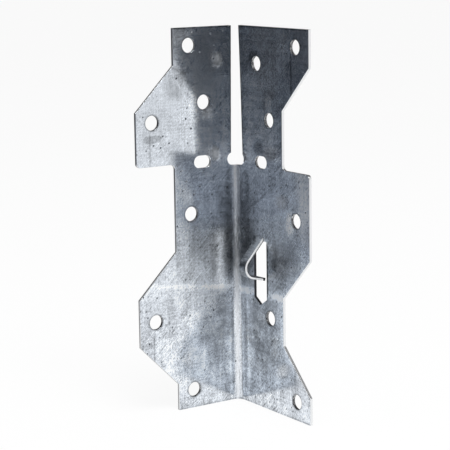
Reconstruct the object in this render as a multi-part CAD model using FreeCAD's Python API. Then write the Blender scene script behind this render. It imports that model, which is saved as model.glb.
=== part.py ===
import FreeCAD, Part
import math
import os

# Framing angle: one steel sheet, sheared to a zigzag outline, pierced, slit along half of its
# fold line and folded to a right angle. One narrow strip of the right leg is lanced and folded
# into a hook prong. The fold runs up +Z, and the outer faces of the two legs meet at the origin.
# The right leg lies along +X and the left leg along -Y, with the hollow side towards +X, -Y.
# A reach is measured along a leg from the outer heel, and a level is a height above the foot.
# Lengths are in millimetres and angles in degrees.

# Sheet and fold
thickness = 0.9
bend_radius = 2.5          # inside the fold
fold_offset = 0.5          # the fold lies off the blank's middle, towards the left leg's edge

# Leg outlines: two widths that take turns, joined by edges at 45 degrees and one square step
leg_wide = 36.4
leg_narrow = 23.4
foot_land = 8.05           # upright stretches of the edges, from the foot to the top
lower_land = 14.35
middle_land = 26.15
upper_land = 15.9
top_land = 10.85
right_step_drop = 1.2      # the right leg's step lies this far below the left leg's
step_inner_radius = 1.4
step_outer_radius = 1.2

# Nail holes: five rows that follow the zigzag, and one more hole in each upper half
hole_diameter = 4.4
hole_margin = 5.95         # from a hole's centre to the leg's edge, before the fold's offset
bottom_row_rise = 5.65     # above the foot
middle_row_rise = 10.9     # above the middle land's lower end
upper_row_drop = 3.15      # below the upper land's top end
top_row_drop = 5.25        # below the top edge
left_extra_reach = 12.5
left_extra_rise = 1.75     # above the upper land's top end
right_extra_reach = 11.25

# Bending slots across the legs, and the slit with its round foot on the fold
slot_width = 3.75
slot_length = 5.85
slot_reach = 13.25         # to a slot's centre
foot_reach = 4.35          # to each end of the slit's foot
slit_top = 2.55            # to the slit's edges at the top
slit_left_foot = 3.05      # to the slit's edges at its foot
slit_right_foot = 3.8

# Window in the right leg, with a pointed lower end
window_left = 9.2
window_right = 15.6
window_drop = 1.85         # from the middle slanted edge's lower end down to the window's shoulders
window_length = 17.5       # from the shoulders to the top
window_point = 2.05        # from the shoulders to the tip

# Hook prong: out from its root above the window, round a fold and back through the window
prong_width = 3.3
prong_clearance = 0.15     # lanced gap on both sides of the prong's root
prong_root = 1.4           # from the window's top to where the prong leaves the leg
prong_hinge_radius = 0.6   # inside the bend at the root
prong_run = 13.8           # mid-sheet, from the hinge's corner to the fold's corner
prong_fall = 48.5          # slope of that run, below level
prong_fold_radius = 2.65   # inside the fold
prong_return = 8.55        # mid-sheet, from the fold's corner to the shoulder of the point
prong_return_fall = 13.5
prong_point = 1.1          # length of the slanted point

# Widths and levels that follow from those sizes
half_sheet = thickness / 2
overrun = thickness        # how far the cutting shapes stand clear of the sheet
right_wide = leg_wide + fold_offset
right_narrow = leg_narrow + fold_offset
left_wide = leg_wide - fold_offset
left_narrow = leg_narrow - fold_offset
taper_rise = leg_wide - leg_narrow
lower_start = foot_land + taper_rise
lower_end = lower_start + lower_land
middle_start = lower_end + taper_rise
left_step = middle_start + middle_land
right_step = left_step - right_step_drop
upper_end = left_step + upper_land
top_start = upper_end + taper_rise
height = top_start + top_land
slot_level = left_step
window_shoulder = lower_end - window_drop
window_top = window_shoulder + window_length
window_middle = (window_left + window_right) / 2
prong_start = window_middle - prong_width / 2
prong_end = window_middle + prong_width / 2
root_level = window_top + prong_root


def on_right(reach, level, depth):
    """Point of the right leg, at a depth in from its outer face."""
    return FreeCAD.Vector(reach, -depth, level)


def on_left(reach, level, depth):
    """Point of the left leg, at a depth in from its outer face."""
    return FreeCAD.Vector(depth, -reach, level)


def inward(leg):
    """Direction through a leg's sheet, from its outer face to its inner face."""
    return leg(0, 0, 1)


def corner_arc(before, corner, after):
    """Start, middle and end of the arc that rounds one (x, y, radius) corner of an outline."""
    x, y, radius = corner
    point = FreeCAD.Vector(x, y, 0)
    if radius == 0:
        return point, point, point
    back = (FreeCAD.Vector(before[0], before[1], 0) - point).normalize()
    ahead = (FreeCAD.Vector(after[0], after[1], 0) - point).normalize()
    half_angle = back.getAngle(ahead) / 2
    tangent = radius / math.tan(half_angle)
    middle = (back + ahead).normalize() * (radius / math.sin(half_angle) - radius)
    return point + back * tangent, point + middle, point + ahead * tangent


def rounded_face(corners, place):
    """Face inside a closed outline of (x, y, radius) corners, set in space by place(x, y)."""
    following = corners[1:] + corners[:1]
    arcs = [corner_arc(corners[i - 1], corners[i], following[i]) for i in range(len(corners))]
    edges = []
    for i, (start, middle, end) in enumerate(arcs):
        next_start = arcs[(i + 1) % len(arcs)][0]
        if corners[i][2] > 0:
            points = [place(p.x, p.y) for p in (start, middle, end)]
            edges.append(Part.Arc(*points).toShape())
        if not end.isEqual(next_start, 1e-6):
            edges.append(Part.LineSegment(place(end.x, end.y), place(next_start.x, next_start.y)).toShape())
    return Part.Face(Part.Wire(edges))


def folded_strip(path, radii):
    """Outline of the sheet seen edge on, along a mid-sheet path, with a fold radius for each inner point."""
    points = [FreeCAD.Vector(x, y, 0) for x, y in path]
    runs = [(b - a).normalize() for a, b in zip(points, points[1:])]
    normals = [FreeCAD.Vector(-run.y, run.x, 0) for run in runs]
    inside_radii = [0] + radii + [0]
    one_side = []
    other_side = []
    for i, point in enumerate(points):
        before = normals[max(i - 1, 0)]
        after = normals[min(i, len(normals) - 1)]
        shift = (before + after) * (half_sheet / (1 + before.dot(after)))
        turn = before.cross(after).z
        inside = inside_radii[i]
        outside = inside + thickness if turn else 0
        near, far = (inside, outside) if turn > 0 else (outside, inside)
        one_side.append((point.x + shift.x, point.y + shift.y, near))
        other_side.append((point.x - shift.x, point.y - shift.y, far))
    return one_side + other_side[::-1]


def leg_prism(leg, corners, depth):
    """Outline drawn on a leg's outer face, pushed inwards to a depth from just outside it."""
    face = rounded_face(corners, lambda reach, level: leg(reach, level, -overrun))
    return face.extrude(inward(leg) * (overrun + depth))


def folded_bar():
    """The sheet folded to a right angle at full width and height, before its legs are trimmed."""
    path = [(right_wide, -half_sheet), (half_sheet, -half_sheet), (half_sheet, -left_wide)]
    section = rounded_face(folded_strip(path, [bend_radius]), lambda x, y: FreeCAD.Vector(x, y, 0))
    return section.extrude(FreeCAD.Vector(0, 0, height))


def leg_outline(foot_width, other_width, step):
    """Zigzag outline of a leg: its width at the foot and the other width take turns up the leg."""

    def step_corner(width):
        radius = step_outer_radius if width == max(foot_width, other_width) else step_inner_radius
        return width, step, radius

    return [
        (0, 0, 0),
        (foot_width, 0, 0),
        (foot_width, foot_land, 0),
        (other_width, lower_start, 0),
        (other_width, lower_end, 0),
        (foot_width, middle_start, 0),
        step_corner(foot_width),
        step_corner(other_width),
        (other_width, upper_end, 0),
        (foot_width, top_start, 0),
        (foot_width, height, 0),
        (0, height, 0),
    ]


def trimmed_legs():
    """Both legs with their outlines. Each trimming prism takes in the whole fold."""
    fold_depth = thickness + bend_radius
    right = leg_prism(on_right, leg_outline(right_wide, right_narrow, right_step), fold_depth)
    left = leg_prism(on_left, leg_outline(left_narrow, left_wide, left_step), fold_depth)
    return folded_bar().common(right.fuse(left))


def nail_holes():
    """One round punch for each nail hole. The rows swap sides with the zigzag of the edges."""
    rows = [
        bottom_row_rise,
        (lower_start + lower_end) / 2,
        middle_start + middle_row_rise,
        upper_end - upper_row_drop,
        height - top_row_drop,
    ]
    wide = leg_wide - hole_margin
    narrow = leg_narrow - hole_margin
    places = [
        (on_right, right_extra_reach, top_start),
        (on_left, left_extra_reach, upper_end + left_extra_rise),
    ]
    for i, level in enumerate(rows):
        right, left = (wide, narrow) if i % 2 == 0 else (narrow, wide)
        places.append((on_right, right, level))
        places.append((on_left, left, level))
    depth = thickness + 2 * overrun
    return [
        Part.makeCylinder(hole_diameter / 2, depth, leg(reach, level, -overrun), inward(leg))
        for leg, reach, level in places
    ]


def slot_corners(first, last, first_radius):
    """Slot across a leg at the slots' level, from one reach to another, with a round far end."""
    end_radius = slot_width / 2
    bottom = slot_level - end_radius
    top = slot_level + end_radius
    return [
        (first, bottom, first_radius),
        (last, bottom, end_radius),
        (last, top, end_radius),
        (first, top, first_radius),
    ]


def bending_slots():
    """Slot with two round ends in each leg, level with the foot of the slit."""
    first = slot_reach - slot_length / 2
    last = slot_reach + slot_length / 2
    corners = slot_corners(first, last, slot_width / 2)
    return [leg_prism(leg, corners, thickness + overrun) for leg in (on_right, on_left)]


def slit_foot():
    """Foot of the slit, wrapped round the fold: each leg holds one of its round ends."""
    corners = slot_corners(-overrun, foot_reach, 0)
    straight = foot_reach - slot_width / 2
    return [leg_prism(leg, corners, straight) for leg in (on_right, on_left)]


def slit():
    """Tapered slit that takes the fold away from its foot to the top of the sheet."""

    def side(leg, foot_edge, depth):
        corners = [
            (-overrun, slot_level, 0),
            (foot_edge, slot_level, 0),
            (slit_top, height, 0),
            (-overrun, height, 0),
        ]
        return leg_prism(leg, corners, depth)

    right = side(on_right, slit_right_foot, slit_left_foot + overrun)
    left = side(on_left, slit_left_foot, slit_right_foot + overrun)
    return right.common(left)


def window():
    """Pointed opening in the right leg, with the notch that runs up beside the prong's root."""
    notch_start = prong_start - prong_clearance
    notch_end = prong_end + prong_clearance
    corners = [
        (window_left, window_top, 0),
        (notch_start, window_top, 0),
        (notch_start, root_level, 0),
        (notch_end, root_level, 0),
        (notch_end, window_top, 0),
        (window_right, window_top, 0),
        (window_right, window_shoulder, 0),
        (window_middle, window_shoulder - window_point, 0),
        (window_left, window_shoulder, 0),
    ]
    return leg_prism(on_right, corners, thickness + overrun)


def prong():
    """Hook prong: a strip of the sheet, folded twice, with a slanted point at its free end."""
    fall = math.radians(prong_fall)
    return_fall = math.radians(prong_return_fall)
    hinge_tangent = math.tan(math.radians(90 - prong_fall) / 2) * (prong_hinge_radius + half_sheet)
    hinge_level = root_level - hinge_tangent
    fold = (half_sheet + prong_run * math.cos(fall), hinge_level - prong_run * math.sin(fall))

    def on_return(length):
        return fold[0] - length * math.cos(return_fall), fold[1] - length * math.sin(return_fall)

    shoulder = on_return(prong_return)
    tip = on_return(prong_return + prong_point)
    path = [(half_sheet, root_level + thickness), (half_sheet, hinge_level), fold, tip]
    corners = folded_strip(path, [prong_hinge_radius, prong_fold_radius])
    side = rounded_face(corners, lambda depth, level: on_right(prong_start, level, depth))
    strip = side.extrude(FreeCAD.Vector(prong_width, 0, 0))

    # The point is cut square to the sheet, from the shoulder at the heel's side to the tip at the far side
    across = on_right(0, math.cos(return_fall), -math.sin(return_fall)) * thickness
    triangle = [
        on_right(reach, level, depth) - across
        for reach, (depth, level) in ((prong_start, shoulder), (prong_end, tip), (prong_start, tip))
    ]
    return strip.cut(Part.Face(Part.makePolygon(triangle + triangle[:1])).extrude(across * 2))


def framing_angle():
    """The whole part: the trimmed legs, pierced and slit, with the prong at its window."""
    cuts = nail_holes() + bending_slots() + slit_foot() + [slit(), window()]
    return trimmed_legs().cut(cuts).fuse(prong()).removeSplitter()


os.makedirs("parts", exist_ok=True)
framing_angle().exportStep("parts/framing_angle.step")
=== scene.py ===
import math
from types import SimpleNamespace

import bpy
from mathutils import Matrix, Vector

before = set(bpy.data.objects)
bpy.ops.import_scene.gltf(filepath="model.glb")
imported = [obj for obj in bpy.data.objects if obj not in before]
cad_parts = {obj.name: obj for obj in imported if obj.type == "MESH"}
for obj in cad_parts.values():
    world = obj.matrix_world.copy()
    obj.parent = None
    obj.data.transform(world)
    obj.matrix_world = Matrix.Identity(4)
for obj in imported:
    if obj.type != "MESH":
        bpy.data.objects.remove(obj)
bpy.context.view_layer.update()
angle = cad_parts["framing_angle"]

MM = 0.001                 # a millimetre in metres

# Camera, in degrees and metres, and its lens in millimetres
VIEW_AZIMUTH = 56.282
VIEW_ELEVATION = 10.168
VIEW_ROLL = -0.841
VIEW_TARGET = Vector((0.0, -0.005, 0.05449))
VIEW_DISTANCE = 0.4858
LENS_MM = 128.98
SENSOR_MM = 36

# Studio, in metres and degrees
FLOOR_REACH = 8.0
FLOOR_COLOUR = (0.92, 0.92, 0.92, 1)
FLOOR_WHITE = 0.90         # share of plain white in the floor that the camera and the metal see
MATT = 0.9                 # roughness of the floor and the card
CARD_START = 0.17          # where the grey card begins in front of the part
CARD_END = 0.8
CARD_HEIGHT = 0.40
CARD_LIFT = 0.0005         # above the floor
CARD_FIRST = -230          # the card's left and right ends, turned from +X
CARD_LAST = 16
CARD_STEPS = 48
CARD_FADE = (0.375, 0.72)  # distances between which its near colour turns into its far one
CARD_NEAR = (0.30, 0.315, 0.345, 1)
CARD_FAR = (0.067, 0.074, 0.088, 1)
WALL_LIGHT = 1.0
CEILING_LIGHT = 0.4
CEILING_RISE = (0.25, 0.5) # upward parts of a direction between which wall turns into ceiling
LAMP_AZIMUTH = -12         # turned from +X
LAMP_ELEVATION = 60
LAMP_DISTANCE = 1.1
LAMP_SIZE = 0.6
LAMP_ENERGY = 9.0

# Finish: zinc, its burnished fold, cut edges painted bright and dark by the way they face, as painted
# light and shade, broken inside the prong's fold, and the window's walls painted black as shade
ZINC = (0.665, 0.706, 0.76)
BURNISHED = (0.84, 0.87, 0.91)
# The next bright cut-edge colour is painted light and the dark one after it painted shade, also used
# where the prong's fold broke
SHEARED_LIT = (0.86, 0.87, 0.88, 1)
FRACTURE_AND_SHADE = (0.14, 0.14, 0.15, 1)
# Near-black for torn specks, and painted shade on the window's walls
TORN_AND_SHADE = (0.03, 0.03, 0.035, 1)
DARKEST = 0.12             # lowest tone of the zinc
FACE_ROUGHNESS = 0.13
CUT_ROUGHNESS = 0.35
EDGE_ROUNDING = 0.00008    # in metres

# Sheet, in millimetres: its thickness, half its fold's width, and how much faster its pattern
# changes through it than along it
SHEET_MM = 0.9
FOLD_HALF = 2.6
THROUGH_STRETCH = 12

# Places where the finish changes, in millimetres across the sheet from the fold or up it
GRAIN_TURN = (-1, 1)       # the left leg's grain turns into the right leg's
LEG_CHANGE = (-4, 4)       # the left leg's strength of pattern turns into the right leg's
WEAR_FALL = (80, 15)       # the pattern gets stronger towards the foot
GRAIN_RISE = (40, 62)      # the grain gets stronger towards the top
LINES_RISE = (62, 76)      # so do the drawing lines and the scuffs
# The fold's rise in brightness next is a painted highlight
FOLD_HIGHLIGHT_RISE = (40, 60)       # the burnished fold gets brighter towards the top
WING_ACROSS = (-15, -23)   # the left leg's upper wing is calmer
WING_RISE = (50, 62)
DULL_SIDES = (32, 20)      # the sheet is duller round its lower middle
DULL_FOOT = (24, 34)
DULL_TOP = (60, 52)

# Zone of the window's walls, painted black as shade, and the end of the right leg's inner cuts, in the
# same measures
WINDOW_ACROSS = (8.0, 15.9)
WINDOW_LEVEL = (30.1, 55)
INNER_CUTS = 22

# The prong lies further along the right leg, and further in from its outer face, than these
PRONG_REACH = 6
PRONG_DEPTH = 1.0

# Middle of the prong's fold, in millimetres in from the right leg's outer face and up the leg
HOOK_CENTRE = (3.85, 43.53)
HOOK_RADIUS = 2.65         # inside the fold
HOOK_FALL = 48.5           # slope in degrees of the limb that leaves the leg
HOOK_RETURN_FALL = 13.5    # slope in degrees of the limb that comes back
HOOK_FRACTURE = 0.3        # depth of the broken part of its cut edges, from the inside of the fold

# Nail holes, in millimetres across the sheet's hollow side from the fold and up it
HOLE_ROWS = (5.65, 28.2, 59.3, 87.3, 109.05)
WIDE_HOLE = 29.55
NARROW_HOLE = 16.55
EXTRA_HOLES = ((10.35, 103.45), (-11.6, 92.2))
HOLE_RADIUS = 2.2
# The holes' dark rims are painted shade
RIM_SHADE_FADE = (0.6, 0.1)      # a hole's dark rim comes up between these distances from its wall

# Hazy place beside the right leg's middle hole, in the same measures: a centre and a size
HAZE = ((26.8, 57.8), (2.8, 5.0))

# Stains, rubbed places and painted light on the hollow side, in millimetres across the sheet from the
# fold and up it: soft ovals and sharper patches with a centre, a size and a change of tone, and
# strokes with two ends, a width and a change of tone. Some are painted shade, painted glints and
# painted dark outlines, noted where they stand
OVALS = (
    # painted shade beside the fold
    ((3.0, 50), (10, 20), -0.70),
    # painted shade darkening the right leg's lower part
    ((12.5, 24), (14, 19), -0.60),
    ((20.5, 45), (8, 10), -0.62),
    # painted shade over the window's reflection in the left leg
    ((-8.9, 46), (1.8, 13), -0.40),
    # painted shade beside the fold
    ((-3.6, 46), (2.4, 13), -0.55),
    ((8.8, 51.0), (1.6, 1.6), -0.60),
    # painted shade beside the fold
    ((3.4, 16), (1.5, 30), -0.34),
    ((27.5, 47), (6, 9), -0.42),
    ((-18, 16), (17, 19), 0.28),
    ((-19.5, 98), (6.5, 8), -0.42),
    ((-16.5, 85), (4, 11), -0.26),
    ((-27, 86), (12, 18), -0.10),
    ((-9, 92), (13, 32), 0.60),
    ((-20, 45), (9, 5), -0.14),
    ((29, 8), (9, 9), -0.16),
    HAZE + (0.8,),
    ((-20, 64), (6, 13), 0.36),
    ((12, 108), (14, 12), -0.28),
    ((-12, 108), (14, 12), 0.34),
    ((27, 100), (8, 12), 0.15),
    # the next two: painted shade beside the fold
    ((3.4, 65), (4, 9), -0.30),
    ((-4, 63), (5, 9), -0.34),
    ((33.5, 63), (5, 12), 0.40),
    ((13, 82), (12, 13), 0.14),
)
OVAL_FADE = (1, 0.3)       # an oval fades in between these parts of its size
PATCHES = (
    ((-13.9, 20.2), (4.2, 2.0), -0.17),
    ((-7.8, 16), (1.3, 9), -0.16),
    ((-3.8, 17), (2.2, 8), 0.07),
    ((-4.5, 4.2), (1.2, 2.6), -0.20),
    ((-29.2, 82.5), (3.8, 1.3), -0.34),
    ((9.5, 24), (2.6, 3.4), -0.15),
    ((4.4, 32.3), (3.2, 3.2), 0.14),
    ((5.6, 16.4), (2.6, 3.0), 0.12),
    ((3.9, 8.8), (2.6, 2.6), 0.10),
    ((7.5, 4.9), (5, 1.6), -0.20),
    # the next two are painted glints
    ((20.0, 22.5), (0.4, 0.35), 1.0),
    ((15.9, 59.2), (0.4, 0.35), 1.0),
)
PATCH_FADE = (1.1, 0.8)    # and a patch between these
STROKES = (
    ((-22.7, 101.8), (-15.7, 90.2), 0.55, 0.28),
    ((-22.6, 103.2), (-18.0, 100.8), 1.1, -0.40),
    ((-30.0, 38.9), (-3.0, 35.4), 1.3, 0.70),
    ((1.0, 34.8), (22.6, 35.3), 1.6, 1.9),
    ((27.7, 94.0), (27.6, 107.0), 0.45, -1.0),
    ((-30.4, 63.0), (-30.4, 84.0), 0.5, -0.45),
    ((-30.4, 10.0), (-30.4, 24.0), 0.5, -0.45),
    ((-31.0, 16.0), (-20.0, 30.0), 1.2, -0.14),
    ((-27.0, 12.0), (-15.0, 27.0), 1.5, 0.14),
    ((-23.0, 9.0), (-13.0, 20.0), 1.0, -0.12),
    ((-33.0, 22.0), (-25.0, 33.0), 0.8, 0.16),
    ((27.0, 3.0), (25.5, 14.0), 0.8, 0.28),
    ((20.5, 7.0), (21.5, 18.0), 0.6, 0.25),
    ((30.5, 3.0), (29.5, 12.0), 0.7, -0.25),
    ((5.0, 97.0), (9.0, 108.0), 0.5, 0.20),
    ((-18.6, 7.7), (-6.5, 2.5), 1.2, 0.18),
    ((15.5, 38.6), (23.5, 38.2), 1.3, -0.30),
    ((3.6, 58.7), (19.2, 68.2), 0.9, -0.30),
    ((14.9, 70.3), (18.4, 68.5), 0.7, -0.30),
    # the next two: painted shadow along the foot
    ((0.0, 0.3), (36.0, 0.3), 0.5, -0.55),
    ((-23.0, 0.3), (0.0, 0.3), 0.4, -0.45),
    ((14.85, 34.5), (14.85, 50.5), 1.1, -1.5),
    # the next two: painted shade beside the fold
    ((1.6, 3.0), (1.6, 33.0), 0.9, -0.42),
    ((-2.2, 3.0), (-2.2, 33.0), 0.7, -0.36),
    # the rest: painted dark outlines along the slit and the top edge, a painted shade
    ((2.9, 76.0), (1.7, 114.3), 0.5, -0.80),
    ((-2.2, 76.0), (-1.7, 114.3), 0.5, -0.80),
    ((0.0, 114.1), (37.0, 114.1), 0.5, -0.80),
    ((-23.0, 114.1), (0.0, 114.1), 0.5, -0.80),
)
STROKE_END = 1             # a stroke fades out over this distance on both sides of its ends

# Dull spots on the hollow side, in the same measures: a centre, a size and a change of tone. Their
# change of tone is mostly painted shade over the holes' reflected images
DULL_AND_SHADED_SPOTS = (
    ((-6.5, 104.6), (3.0, 4.4), -0.78),
    ((-19.5, 112.3), (4.2, 4.6), -0.50),
    ((-10.3, 89.8), (2.8, 4.2), -0.66),
    ((-7.9, 76.9), (2.8, 4.0), -0.70),
    ((-18.3, 64.8), (2.4, 3.6), -0.20),
    ((16.3, 92.0), (2.8, 3.8), 0.40),
)

# Layers of scuffs: a turn in degrees, a scale across, along and through the sheet, a shift of the
# noise and a strength
SCUFFS = (
    (42, (2.4, 0.18, 1), 3, 1),
    (50, (1.5, 0.13, 1), 17, 1),
    (-40, (2.2, 0.20, 1), 29, 0.5),
)


def make_camera():
    """Camera at the photograph's viewing angle."""
    azimuth = math.radians(VIEW_AZIMUTH)
    elevation = math.radians(VIEW_ELEVATION)
    roll = math.radians(VIEW_ROLL)
    level = math.cos(elevation)
    back = Vector((math.sin(azimuth) * level, -math.cos(azimuth) * level, math.sin(elevation)))
    right = Vector((math.cos(azimuth), math.sin(azimuth), 0))
    up = back.cross(right)
    turned_right = right * math.cos(roll) + up * math.sin(roll)
    turned_up = up * math.cos(roll) - right * math.sin(roll)
    data = bpy.data.cameras.new("camera")
    data.lens = LENS_MM
    data.sensor_width = SENSOR_MM
    data.clip_start = 0.01
    camera = bpy.data.objects.new("camera", data)
    turn = Matrix((turned_right, turned_up, back)).transposed().to_4x4()
    camera.matrix_world = Matrix.Translation(VIEW_TARGET + back * VIEW_DISTANCE) @ turn
    bpy.context.scene.collection.objects.link(camera)
    bpy.context.scene.camera = camera


class Nodes:
    """Short way to write down a material's nodes. Most methods return the new node's output."""

    def __init__(self, material):
        material.use_nodes = True
        self.tree = material.node_tree
        self.shader = self.tree.nodes["Principled BSDF"]
        self.output = self.tree.nodes["Material Output"]

    def add(self, kind, inputs, out=0, **settings):
        node = self.tree.nodes.new(kind)
        for name, value in settings.items():
            setattr(node, name, value)
        for key, value in inputs.items():
            if isinstance(value, bpy.types.NodeSocket):
                self.tree.links.new(value, node.inputs[key])
            else:
                node.inputs[key].default_value = value
        return node.outputs[out]

    def math(self, operation, first, second=0.0, clamp=False):
        return self.add("ShaderNodeMath", {0: first, 1: second}, operation=operation, use_clamp=clamp)

    def chain(self, operation, values):
        """One operation on several values in turn."""
        result = values[0]
        for value in values[1:]:
            result = self.math(operation, result, value)
        return result

    def product(self, *values):
        return self.chain("MULTIPLY", values)

    def total(self, *values):
        return self.chain("ADD", values)

    def least(self, *values):
        return self.chain("MINIMUM", values)

    def most(self, *values):
        return self.chain("MAXIMUM", values)

    def rest(self, value):
        """What a value leaves of 1."""
        return self.math("SUBTRACT", 1, value)

    def swing(self, value, gain):
        """Value's difference from one half, times a gain."""
        return self.product(self.math("SUBTRACT", value, 0.5), gain)

    def inside(self, value, low, high):
        """1 between low and high, and 0 elsewhere."""
        return self.product(self.math("GREATER_THAN", value, low), self.math("LESS_THAN", value, high))

    def step(self, value, low, high):
        """Smooth step from 0 at low to 1 at high."""
        inputs = {"Value": value, "From Min": low, "From Max": high}
        return self.add("ShaderNodeMapRange", inputs, interpolation_type="SMOOTHSTEP")

    def spread(self, value, low, high):
        """Straight map of 0 to 1 onto low to high."""
        inputs = {"Value": value, "To Min": low, "To Max": high}
        return self.add("ShaderNodeMapRange", inputs)

    def ramp(self, value, ends, low, high):
        """Smooth change from low at the first of two ends to high at the second."""
        return self.spread(self.step(value, *ends), low, high)

    def split(self, vector):
        """The three parts of a vector."""
        parts = self.tree.nodes.new("ShaderNodeSeparateXYZ")
        self.tree.links.new(vector, parts.inputs[0])
        return parts.outputs

    def join(self, *parts):
        """A vector from its parts."""
        return self.add("ShaderNodeCombineXYZ", dict(enumerate(parts)))

    def length(self, vector):
        return self.add("ShaderNodeVectorMath", {0: vector}, out=1, operation="LENGTH")

    def place(self, vector, scale=(1, 1, 1), turn=0.0, move=(0, 0, 0)):
        """Coordinates turned in the sheet, then scaled and moved."""
        turning = {"Vector": vector, "Rotation": (0, 0, math.radians(turn))}
        turned = self.add("ShaderNodeMapping", turning)
        return self.add("ShaderNodeMapping", {"Vector": turned, "Scale": scale, "Location": move})

    def noise(self, vector, scale=1.0, detail=2.0, roughness=0.5, distortion=0.0):
        inputs = {"Vector": vector, "Scale": scale, "Detail": detail}
        inputs.update({"Roughness": roughness, "Distortion": distortion})
        return self.add("ShaderNodeTexNoise", inputs)

    def mix(self, factor, first, second):
        """Mix of two numbers."""
        return self.add("ShaderNodeMix", {"Factor": factor, 2: first, 3: second})

    def blend(self, factor, first, second):
        """Mix of two colours."""
        inputs = {"Factor": factor, 6: first, 7: second}
        return self.add("ShaderNodeMix", inputs, out=2, data_type="RGBA")

    def tint(self, colour, tone):
        """A colour times a tone."""
        return self.add("ShaderNodeVectorMath", {0: colour, 3: tone}, operation="SCALE")

    def attach(self, name, value):
        """Links a value to the shader."""
        self.tree.links.new(value, self.shader.inputs[name])


def sheet_place(n):
    """Millimetres across the sheet, up it, in from its outer faces and along the right leg."""
    x, y, z = n.split(n.add("ShaderNodeTexCoord", {}, out=3))
    across = n.product(n.total(x, y), 1 / MM)
    up = n.product(z, 1 / MM)
    depth = n.product(n.least(x, n.product(y, -1)), 1 / MM)
    reach = n.product(x, 1 / MM)
    return across, up, depth, reach


def facing_parts(n):
    """The three parts of the surface's own direction."""
    return n.split(n.add("ShaderNodeTexCoord", {}, out=1))


def facing_sizes(n):
    """The sizes of those parts, without their signs."""
    return [n.math("ABSOLUTE", part) for part in facing_parts(n)]


def prong_zone(n, s):
    """1 on the prong, where it stands clear of the right leg."""
    along = n.math("GREATER_THAN", s.reach, PRONG_REACH)
    return n.product(along, n.math("GREATER_THAN", s.depth, PRONG_DEPTH))


def sheared_edge(n, s):
    """1 on the sheared edges and hole walls, and 0 on the sheet's own faces."""
    x, y, z = facing_sizes(n)
    right_leg = n.most(n.math("GREATER_THAN", s.across, FOLD_HALF), s.prong)
    left_leg = n.product(n.math("LESS_THAN", s.across, -FOLD_HALF), n.rest(s.prong))
    facing = n.total(
        n.product(n.math("SUBTRACT", right_leg, s.prong), y),
        n.product(left_leg, x),
        n.product(s.prong, n.rest(x)),
        n.product(n.rest(n.total(right_leg, left_leg)), n.rest(z)),
    )
    return n.math("LESS_THAN", facing, 0.6)


def hook_inside(n, s):
    """1 on the inner part of the prong's cut edges, measured from the middle of its fold."""
    fall = math.radians(HOOK_FALL)
    return_fall = math.radians(HOOK_RETURN_FALL)
    a = n.math("SUBTRACT", s.depth, HOOK_CENTRE[0])
    b = n.math("SUBTRACT", s.up, HOOK_CENTRE[1])
    out = n.total(n.product(a, math.sin(fall)), n.product(b, math.cos(fall)))
    back = n.total(n.product(a, math.sin(return_fall)), n.product(b, -math.cos(return_fall)))
    share = math.cos(fall + return_fall)
    folded = n.product(
        n.math("GREATER_THAN", n.total(out, n.product(back, share)), 0),
        n.math("GREATER_THAN", n.total(back, n.product(out, share)), 0),
    )
    round_fold = n.product(n.length(n.join(a, b)), folded)
    return n.math("LESS_THAN", n.most(out, back, round_fold), HOOK_RADIUS + HOOK_FRACTURE)


def cut_light_mask(n, s):
    """1 where a cut edge is painted bright, as painted light: on edges facing +X, less as they tilt
    up, and on the hollow-side half of edges facing -Y. 0 where it is painted dark, as painted shade,
    and where the metal broke inside the prong's fold.
    """
    x, y, z = facing_parts(n)
    right = n.step(n.math("SUBTRACT", x, n.product(n.most(z, 0), 0.45)), 0.2, 0.6)
    left = n.product(n.step(y, -0.4, -0.7), n.step(s.depth, 0.35, 0.5), 0.8)
    broken = n.product(s.prong, hook_inside(n, s))
    return n.product(n.most(right, left), n.rest(broken))


def torn_and_shade_zone(n, s):
    """1 on torn specks of the hole walls and inner cuts, and all over the window's walls, which are
    painted black as shade.
    """
    window = n.product(n.inside(s.across, *WINDOW_ACROSS), n.inside(s.up, *WINDOW_LEVEL))
    near_hole = n.math("LESS_THAN", s.hole, 2 * HOLE_RADIUS)
    inner = n.most(n.inside(s.across, 0, INNER_CUTS), near_hole)
    specks = n.step(n.noise(s.vector, scale=1.4), 0.62, 0.52)
    return n.product(n.most(window, n.product(inner, specks)), n.rest(s.prong))


def distance(n, s, centre, size):
    """How far a point of the sheet lies from a centre, in parts of a size."""
    a = n.math("DIVIDE", n.math("SUBTRACT", s.across, centre[0]), size[0])
    b = n.math("DIVIDE", n.math("SUBTRACT", s.up, centre[1]), size[1])
    return n.length(n.join(a, b))


def nearest_hole(n, s):
    """Millimetres from the middle of the nearest nail hole. The rows swap sides up the legs."""
    centres = list(EXTRA_HOLES)
    for i, level in enumerate(HOLE_ROWS):
        right, left = (WIDE_HOLE, NARROW_HOLE) if i % 2 == 0 else (NARROW_HOLE, WIDE_HOLE)
        centres += [(right, level), (-left, level)]
    return n.least(*[distance(n, s, centre, (1, 1)) for centre in centres])


def soft_oval(n, s, centre, size):
    """1 in the middle of an oval, fading to 0 at its rim."""
    return n.step(distance(n, s, centre, size), *OVAL_FADE)


def stroke(n, s, start, end, width):
    """1 on a thin straight stroke between two points of the sheet."""
    run = Vector(end) - Vector(start)
    along = run.normalized()
    a = n.math("SUBTRACT", s.across, start[0])
    b = n.math("SUBTRACT", s.up, start[1])
    length = n.total(n.product(a, along.x), n.product(b, along.y))
    off = n.math("ABSOLUTE", n.total(n.product(a, -along.y), n.product(b, along.x)))
    first = n.step(length, -STROKE_END, STROKE_END)
    last = n.step(length, run.length + STROKE_END, run.length - STROKE_END)
    return n.product(first, last, n.step(off, width, 0))


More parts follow.
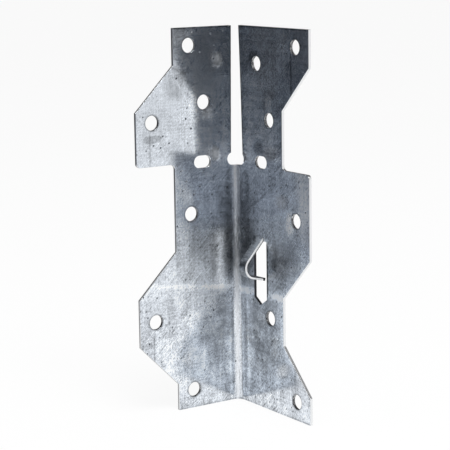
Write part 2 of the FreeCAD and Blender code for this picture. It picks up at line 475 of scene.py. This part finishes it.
def marks_and_painted_light(n, s):
    """Stains and rubbed places, with painted shade, painted glints and painted dark outlines among
    them, broken up by noise, as a factor of the tone.
    """
    rag = n.noise(s.vector, scale=0.35, detail=4, roughness=0.65, distortion=0.6)
    ragged = n.ramp(rag, (0.25, 0.6), 0.4, 1)
    broken = n.ramp(n.noise(s.vector, scale=0.6, detail=4, roughness=0.7), (0.35, 0.6), 0.3, 1)
    wander = n.swing(n.noise(s.vector, scale=0.3, detail=3, roughness=0.6), 1.2)
    changes = []
    for centre, size, change in OVALS:
        changes.append(n.product(soft_oval(n, s, centre, size), ragged, change))
    for centre, size, change in PATCHES:
        rim = n.total(distance(n, s, centre, size), wander)
        changes.append(n.product(n.step(rim, *PATCH_FADE), change))
    for start, end, width, change in STROKES:
        changes.append(n.product(stroke(n, s, start, end, width), broken, change))
    return n.product(*[n.total(1, change) for change in changes])


def scuffs(n, s):
    """Short diagonal scuffs, light and dark, in loose groups. The value is 0 where there are none."""
    groups = n.step(n.noise(n.place(s.vector, move=(40, 10, 0)), scale=0.06), 0.36, 0.62)
    layers = []
    for turn, scale, shift, strength in SCUFFS:
        streak = n.noise(n.place(s.vector, scale, turn, (shift, shift, shift)))
        light_and_dark = n.math("SUBTRACT", n.step(streak, 0.60, 0.68), n.step(streak, 0.40, 0.32))
        layers.append(n.product(light_and_dark, strength))
    return n.product(n.total(*layers), groups)


def fine_grain(n, s):
    """Fine rubbed grain, which slants on the left leg and stands upright on the right one."""
    left = n.noise(n.place(s.vector, (3.4, 1.5, 1), turn=45), roughness=0.6)
    right = n.noise(n.place(s.vector, (3.4, 1.4, 1)), roughness=0.6)
    grain = n.mix(n.step(s.across, *GRAIN_TURN), left, right)
    crowd = n.noise(n.place(s.vector, move=(90, 0, 0)), scale=0.09, detail=3)
    return n.total(0.5, n.swing(grain, n.ramp(crowd, (0.35, 0.65), 0.75, 1.2)))


def pits(n, s):
    """Scattered small dark pits, more of them in some places."""
    cells = n.tree.nodes.new("ShaderNodeTexVoronoi")
    cells.inputs["Scale"].default_value = 0.6
    n.tree.links.new(n.place(s.vector, (1, 0.75, 0.1), turn=40), cells.inputs["Vector"])
    near = n.step(cells.outputs["Distance"], 0.2, 0.08)
    crowd = n.noise(n.place(s.vector, move=(3, 50, 0)), scale=0.06)
    chance = n.split(cells.outputs["Color"])[0]
    return n.product(near, n.step(n.total(chance, n.swing(crowd, 2.4)), 0.46, 0.60))


def smears(n, s):
    """Upright soft smears, light and dark."""
    place = n.place(s.vector, (0.30, 0.06, 1), move=(11, 5, 0))
    return n.step(n.noise(place, detail=3, roughness=0.55, distortion=0.3), 0.42, 0.58)


def dashes(n, s):
    """Sparse short dark dashes across the sheet."""
    return n.step(n.noise(n.place(s.vector, (0.45, 3.4, 1), move=(0, 60, 0))), 0.66, 0.72)


def fold_wear(n, s):
    """1 along the middle of the fold, where the forming tool burnished it."""
    x, y, z = facing_sizes(n)
    uneven = n.noise(n.place(s.vector, (0.5, 0.35, 1)), detail=4, roughness=0.7)
    ragged = n.swing(uneven, 0.4)
    right = n.step(n.total(x, ragged), 0.62, 0.76)
    left = n.step(n.total(y, ragged), 0.36, 0.52)
    return n.product(right, left, n.step(z, 0.3, 0.1), n.step(uneven, 0.2, 0.55))


def sheet_layers(n):
    """What the parts of the finish share: places and zones on the sheet, and its textures."""
    s = SimpleNamespace()
    s.across, s.up, s.depth, s.reach = sheet_place(n)
    s.vector = n.join(s.across, s.up, n.product(s.depth, THROUGH_STRETCH))
    s.prong = prong_zone(n, s)
    s.edge = sheared_edge(n, s)
    s.hollow_side = n.math("GREATER_THAN", s.depth, SHEET_MM / 2)
    s.hole = nearest_hole(n, s)
    s.clouds = n.noise(s.vector, scale=0.07, detail=3, roughness=0.6, distortion=0.5)
    s.mottle = n.noise(s.vector, scale=0.5, detail=4, roughness=0.65, distortion=0.4)
    s.grain = fine_grain(n, s)
    s.scuff = scuffs(n, s)
    s.pit = pits(n, s)
    s.worn = fold_wear(n, s)
    s.spots = [soft_oval(n, s, centre, size) for centre, size, change in DULL_AND_SHADED_SPOTS]
    s.marked = n.math("POWER", marks_and_painted_light(n, s), s.hollow_side)
    return s


def pattern(n, s):
    """The zinc's pattern, about 0: layers of light and dark, each with its strength."""
    shapes = n.place(s.vector, move=(7, 3, 0))
    shapes = n.noise(shapes, scale=0.11, detail=4, roughness=0.6, distortion=1.2)
    streaks = n.noise(n.place(s.vector, (1.7, 0.04, 1)), detail=4, roughness=0.65)
    cross_streaks = n.noise(n.place(s.vector, (0.05, 1.5, 1)), detail=4, roughness=0.65)
    lined = n.ramp(s.up, LINES_RISE, 1, 1.8)
    return n.total(
        n.swing(s.clouds, 0.34),
        n.swing(n.step(shapes, 0.46, 0.56), 0.14),
        n.swing(smears(n, s), 0.14),
        n.swing(s.mottle, 0.24),
        n.swing(s.grain, n.ramp(s.up, GRAIN_RISE, 1.6, 2.2)),
        n.product(n.swing(streaks, 0.5), lined),
        n.product(n.swing(cross_streaks, 0.6), lined),
        n.product(s.scuff, n.ramp(s.up, LINES_RISE, 0.22, 0.36)),
        n.product(dashes(n, s), -0.25),
    )


def zinc_colour(n, s):
    """Zinc with its pattern, stains with painted light among them, dull spots with painted shade,
    pits, and the painted shade of its holes' dark rims.
    """
    wing = n.product(n.step(s.across, *WING_ACROSS), n.step(s.up, *WING_RISE))
    handled = n.product(
        n.ramp(s.up, WEAR_FALL, 0.9, 1.4),
        n.spread(wing, 1, 0.65),
        n.ramp(s.across, LEG_CHANGE, 0.9, 1.0),
    )
    shades = [n.product(spot, change) for spot, (centre, size, change) in zip(s.spots, DULL_AND_SHADED_SPOTS)]
    # painted shade round the holes
    rim = n.step(s.hole, *[HOLE_RADIUS + gap for gap in RIM_SHADE_FADE])
    tone = n.product(
        n.total(1, n.product(pattern(n, s), handled)),
        s.marked,
        n.total(1, n.product(n.total(*shades), s.hollow_side)),
        n.rest(n.product(rim, 0.5)),
        n.rest(n.product(s.pit, 0.8)),
        n.rest(n.product(s.prong, 0.2)),
    )
    return n.tint(ZINC, n.most(tone, DARKEST))


def fold_colour(n, s):
    """Burnished zinc along the fold, with a painted highlight that brightens it towards the top."""
    uneven = n.total(1, n.swing(s.mottle, 0.9))
    return n.tint(BURNISHED, n.product(uneven, s.marked, n.ramp(s.up, FOLD_HIGHLIGHT_RISE, 1, 1.5)))


def cut_colour(n, s, cut_light):
    """Cut edges: painted bright where lit and dark as painted shade, broken and dark inside the
    prong's fold, torn black on specks, and black on the window's walls as painted shade.
    """
    return n.blend(torn_and_shade_zone(n, s), n.blend(cut_light, FRACTURE_AND_SHADE, SHEARED_LIT), TORN_AND_SHADE)


def face_roughness(n, s):
    """Roughness of the sheet's faces, with a duller middle, a hazy place and dull spots."""
    dull = n.product(
        n.step(n.math("ABSOLUTE", s.across), *DULL_SIDES),
        n.step(s.up, *DULL_FOOT),
        n.step(s.up, *DULL_TOP),
    )
    haze = n.product(soft_oval(n, s, *HAZE), s.hollow_side, n.step(s.mottle, 0.35, 0.6))
    return n.total(
        FACE_ROUGHNESS,
        n.product(dull, 0.17),
        n.product(n.total(*s.spots), s.hollow_side, 0.06),
        n.product(haze, 0.40),
        n.swing(s.clouds, 0.06),
        n.swing(s.mottle, 0.06),
        n.swing(s.grain, 0.06),
        n.product(s.worn, 0.10),
        n.product(s.pit, 0.2),
    )


def relief(n, s):
    """Height of the sheet's surface in millimetres."""
    return n.total(
        n.product(n.noise(s.vector, scale=0.11), 0.06),
        n.product(s.mottle, 0.0015),
        n.product(s.grain, 0.001),
        n.product(s.scuff, 0.0015),
        n.product(s.pit, -0.03),
    )


def galvanised_sheet():
    """Zinc-coated sheet, burnished along its fold and bare at its cut edges."""
    material = bpy.data.materials.new("galvanised_sheet_finish")
    n = Nodes(material)
    s = sheet_layers(n)
    cut_light = cut_light_mask(n, s)
    face = n.blend(s.worn, zinc_colour(n, s), fold_colour(n, s))
    n.attach("Base Color", n.blend(s.edge, face, cut_colour(n, s, cut_light)))
    # The prong's lit cut edge loses most of its metal here, so that it shows white: painted light
    n.attach("Metallic", n.rest(n.product(s.edge, s.prong, cut_light, 0.8)))
    n.attach("Roughness", n.mix(s.edge, face_roughness(n, s), CUT_ROUGHNESS))
    bump = {"Strength": 1.0, "Distance": MM, "Height": relief(n, s)}
    n.attach("Normal", n.add("ShaderNodeBump", bump))
    return material


def dress_angle():
    """Finish, and very small roundings on the sheared edges."""
    angle.material_slots[0].material = galvanised_sheet()
    weld = angle.modifiers.new("weld", "WELD")
    weld.merge_threshold = 1e-6
    flat = angle.modifiers.new("flat", "DECIMATE")
    flat.decimate_type = "DISSOLVE"
    flat.angle_limit = math.radians(1)
    bevel = angle.modifiers.new("edge", "BEVEL")
    bevel.width = EDGE_ROUNDING
    bevel.segments = 2
    bevel.limit_method = "ANGLE"
    bevel.angle_limit = math.radians(30)
    bevel.use_clamp_overlap = False
    normal = angle.modifiers.new("normal", "WEIGHTED_NORMAL")
    normal.weight = 100


def add_mesh(name, points, faces):
    """New mesh object in the scene."""
    mesh = bpy.data.meshes.new(name)
    mesh.from_pydata(points, [], faces)
    piece = bpy.data.objects.new(name, mesh)
    bpy.context.scene.collection.objects.link(piece)
    return piece


def floor_finish():
    """White floor that keeps part of the shadow that falls on it."""
    material = bpy.data.materials.new("floor")
    n = Nodes(material)
    n.shader.inputs["Base Color"].default_value = FLOOR_COLOUR
    n.shader.inputs["Roughness"].default_value = MATT
    path = n.tree.nodes.new("ShaderNodeLightPath")
    seen = n.total(path.outputs["Is Camera Ray"], path.outputs["Is Glossy Ray"])
    seen = n.math("ADD", seen, path.outputs["Is Transmission Ray"], clamp=True)
    white = n.add("ShaderNodeEmission", {"Color": (1, 1, 1, 1), "Strength": 1.0})
    inputs = {0: n.product(seen, FLOOR_WHITE), 1: n.shader.outputs[0], 2: white}
    n.tree.links.new(n.add("ShaderNodeMixShader", inputs), n.output.inputs["Surface"])
    return material


def make_floor():
    """Plain white floor."""
    r = FLOOR_REACH
    floor = add_mesh("floor", [(-r, -r, 0), (r, -r, 0), (r, r, 0), (-r, r, 0)], [(0, 1, 2, 3)])
    floor.data.materials.append(floor_finish())


def card_finish():
    """Grey card, darker further out."""
    material = bpy.data.materials.new("card")
    n = Nodes(material)
    away = n.length(n.add("ShaderNodeTexCoord", {}, out=3))
    n.attach("Base Color", n.blend(n.step(away, *CARD_FADE), CARD_NEAR, CARD_FAR))
    n.shader.inputs["Roughness"].default_value = MATT
    return material


def make_card():
    """Dark side of the room round the part's left and front, which only the metal shows."""
    profile = [(CARD_START, CARD_LIFT), (CARD_END, CARD_LIFT), (CARD_END, CARD_HEIGHT)]
    rows = len(profile)
    points = []
    for i in range(CARD_STEPS + 1):
        turn = math.radians(CARD_FIRST + (CARD_LAST - CARD_FIRST) * i / CARD_STEPS)
        points += [(r * math.cos(turn), r * math.sin(turn), height) for r, height in profile]
    faces = []
    for i in range(CARD_STEPS):
        for j in range(rows - 1):
            first = rows * i + j
            faces.append((first, first + rows, first + rows + 1, first + 1))
    card = add_mesh("card", points, faces)
    card.data.materials.append(card_finish())
    card.visible_camera = False
    card.visible_diffuse = False
    card.visible_shadow = False


def make_room():
    """White walls under a darker ceiling."""
    world = bpy.data.worlds.new("room")
    world.use_nodes = True
    tree = world.node_tree
    spot = tree.nodes.new("ShaderNodeTexCoord")
    parts = tree.nodes.new("ShaderNodeSeparateXYZ")
    light = tree.nodes.new("ShaderNodeMapRange")
    light.interpolation_type = "SMOOTHSTEP"
    light.inputs["From Min"].default_value = CEILING_RISE[0]
    light.inputs["From Max"].default_value = CEILING_RISE[1]
    light.inputs["To Min"].default_value = WALL_LIGHT
    light.inputs["To Max"].default_value = CEILING_LIGHT
    background = tree.nodes["Background"]
    background.inputs["Color"].default_value = (1, 1, 1, 1)
    tree.links.new(spot.outputs["Generated"], parts.inputs[0])
    tree.links.new(parts.outputs["Z"], light.inputs["Value"])
    tree.links.new(light.outputs[0], background.inputs["Strength"])
    bpy.context.scene.world = world


def make_lamp():
    """One large soft lamp, high at the front right."""
    data = bpy.data.lights.new("softbox", "AREA")
    data.shape = "SQUARE"
    data.size = LAMP_SIZE
    data.energy = LAMP_ENERGY
    lamp = bpy.data.objects.new("softbox", data)
    azimuth = math.radians(LAMP_AZIMUTH)
    elevation = math.radians(LAMP_ELEVATION)
    level = math.cos(elevation)
    toward = Vector((math.cos(azimuth) * level, math.sin(azimuth) * level, math.sin(elevation)))
    lamp.location = toward * LAMP_DISTANCE
    lamp.rotation_euler = toward.to_track_quat("Z", "Y").to_euler()
    bpy.context.scene.collection.objects.link(lamp)


make_camera()
make_floor()
make_card()
make_room()
make_lamp()
dress_angle()

bpy.context.scene.view_settings.view_transform = "Standard"
